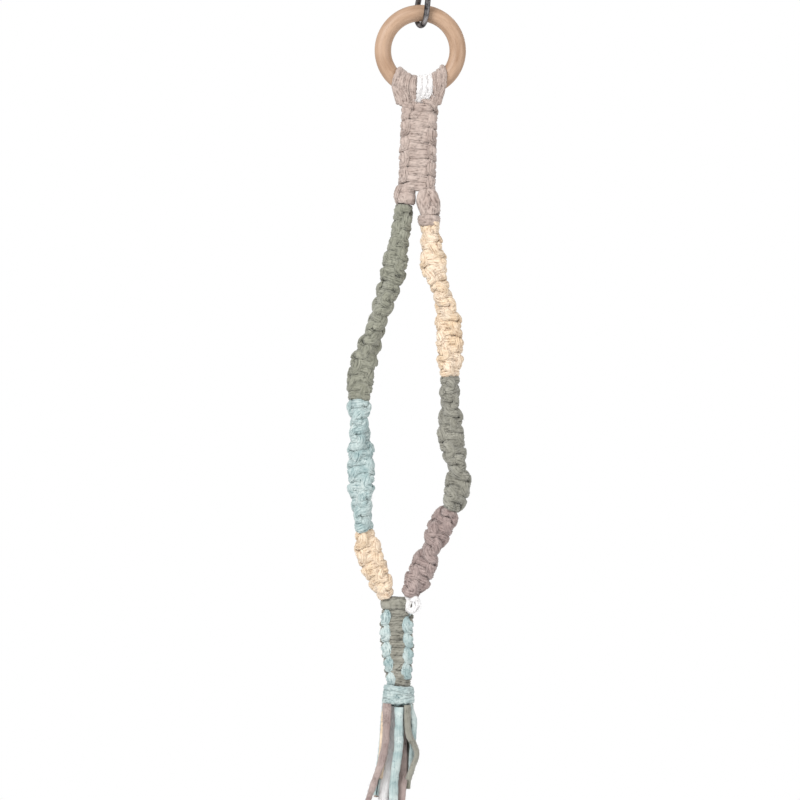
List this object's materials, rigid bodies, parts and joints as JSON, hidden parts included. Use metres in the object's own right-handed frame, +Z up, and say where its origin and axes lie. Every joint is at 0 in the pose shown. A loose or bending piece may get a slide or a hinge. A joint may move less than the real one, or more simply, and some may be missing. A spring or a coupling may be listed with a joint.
{
  "type": "hanging cord planter",
  "caption": "Hanging planter of knotted jersey cord: a wooden ring on a steel S-hook, a knotted strap, knotted arms that spread round a pot, a collar and a tassel.",
  "frame": {"origin": "the upper seat of the S-hook, where it lies on the support", "axes": "+Z up along the hanging line, +X to the right across the ring and the two arms, -Y towards the front"},
  "size_m": [0.0977, 0.0272, 0.6759],
  "materials": {
    "dark_steel": "weathered dark steel wire",
    "beech_wood": "pale beech, smooth sanded, clear sealed",
    "taupe_jersey": "taupe cotton jersey cord, matte",
    "white_cotton": "soft white cotton, fluffy",
    "sage_jersey": "sage green cotton jersey cord, matte",
    "blue_jersey": "light blue mottled cotton jersey cord, matte",
    "cream_jersey": "cream cotton jersey cord, matte",
    "grey_green_jersey": "grey-green cotton jersey cord, matte",
    "mauve_jersey": "mauve cotton jersey cord, matte"
  },
  "bodies": {
    "hook": {"steel_s_hook": "dark_steel"},
    "ring": {"wooden_ring": "beech_wood", "outer_left_loop": "taupe_jersey", "inner_left_loop": "taupe_jersey", "white_cotton_loop": "white_cotton", "inner_right_loop": "taupe_jersey", "outer_right_loop": "taupe_jersey"},
    "hanger": {"strap_core": "white_cotton", "strap_front_cord": "taupe_jersey", "strap_back_cord": "taupe_jersey", "left_branch_knot": "taupe_jersey", "inner_right_branch_knot": "taupe_jersey", "outer_right_branch_knot": "taupe_jersey"},
    "arm_left_upper": {"sage_core": "white_cotton", "sage_front_cord": "sage_jersey", "sage_back_cord": "sage_jersey"},
    "arm_left_lower": {"left_lower_core": "white_cotton", "blue_front_cord": "blue_jersey", "blue_back_cord": "blue_jersey", "left_cream_front_cord": "cream_jersey", "left_cream_back_cord": "cream_jersey"},
    "arm_right_upper": {"right_upper_core": "white_cotton", "right_cream_front_cord": "cream_jersey", "right_cream_back_cord": "cream_jersey"},
    "arm_right_lower": {"right_lower_core": "white_cotton", "grey_green_front_cord": "grey_green_jersey", "grey_green_back_cord": "grey_green_jersey", "mauve_front_cord": "mauve_jersey", "mauve_back_cord": "mauve_jersey"},
    "collar": {"collar_band": "grey_green_jersey", "collar_core": "white_cotton", "collar_front_cord": "grey_green_jersey", "collar_side_cord": "blue_jersey", "white_cotton_knot": "white_cotton", "gathering_wrap": "blue_jersey", "tassel_head": "blue_jersey"},
    "tassel": {"strand_01": "mauve_jersey", "strand_02": "blue_jersey", "strand_03": "grey_green_jersey", "strand_04": "cream_jersey", "strand_05": "white_cotton", "strand_06": "mauve_jersey", "strand_07": "blue_jersey", "strand_08": "blue_jersey", "strand_09": "white_cotton", "strand_10": "blue_jersey", "strand_11": "sage_jersey", "strand_12": "taupe_jersey", "strand_13": "cream_jersey", "strand_14": "blue_jersey"}
  },
  "joints": [
    {"name": "ring_sway", "type": "hinge", "parent": "hook", "child": "ring", "pos_m": [0, 0, -0.06945], "axis": [0, 1, 0], "range_deg": [-30, 30]},
    {"name": "hanger_swing", "type": "hinge", "parent": "ring", "child": "hanger", "pos_m": [0, 0, -0.11735], "axis": [1, 0, 0], "range_deg": [-45, 45]},
    {"name": "arms_spread", "type": "hinge", "parent": "hanger", "child": "arm_left_upper", "pos_m": [-0.0155, 0, -0.207], "axis": [0, 1, 0], "range_deg": [0, 18]},
    {"name": "left_elbow", "type": "hinge", "parent": "arm_left_upper", "child": "arm_left_lower", "pos_m": [-0.028, 0, -0.3575], "axis": [0, 1, 0], "range_deg": [-36.5, 0]},
    {"name": "collar_turn", "type": "hinge", "parent": "arm_left_lower", "child": "collar", "pos_m": [-0.0185, 0, -0.508], "axis": [0, 1, 0], "range_deg": [0, 18.5]},
    {"name": "right_arm_spread", "type": "hinge", "parent": "hanger", "child": "arm_right_upper", "pos_m": [0.0185, 0, -0.215], "axis": [0, 1, 0], "range_deg": [-22.5, 0]},
    {"name": "right_elbow", "type": "hinge", "parent": "arm_right_upper", "child": "arm_right_lower", "pos_m": [0.0235, 0, -0.3371], "axis": [0, 1, 0], "range_deg": [0, 38.5]},
    {"name": "tassel_swing", "type": "hinge", "parent": "collar", "child": "tassel", "pos_m": [0.0005, 0, -0.5794], "axis": [0, 1, 0], "range_deg": [-30, 30]}
  ],
  "couplings": [
    {"joint": "left_elbow", "follows": "arms_spread", "ratio": -2},
    {"joint": "collar_turn", "follows": "arms_spread", "ratio": 1},
    {"joint": "right_arm_spread", "follows": "arms_spread", "ratio": -1.23},
    {"joint": "right_elbow", "follows": "arms_spread", "ratio": 2.109}
  ]
}
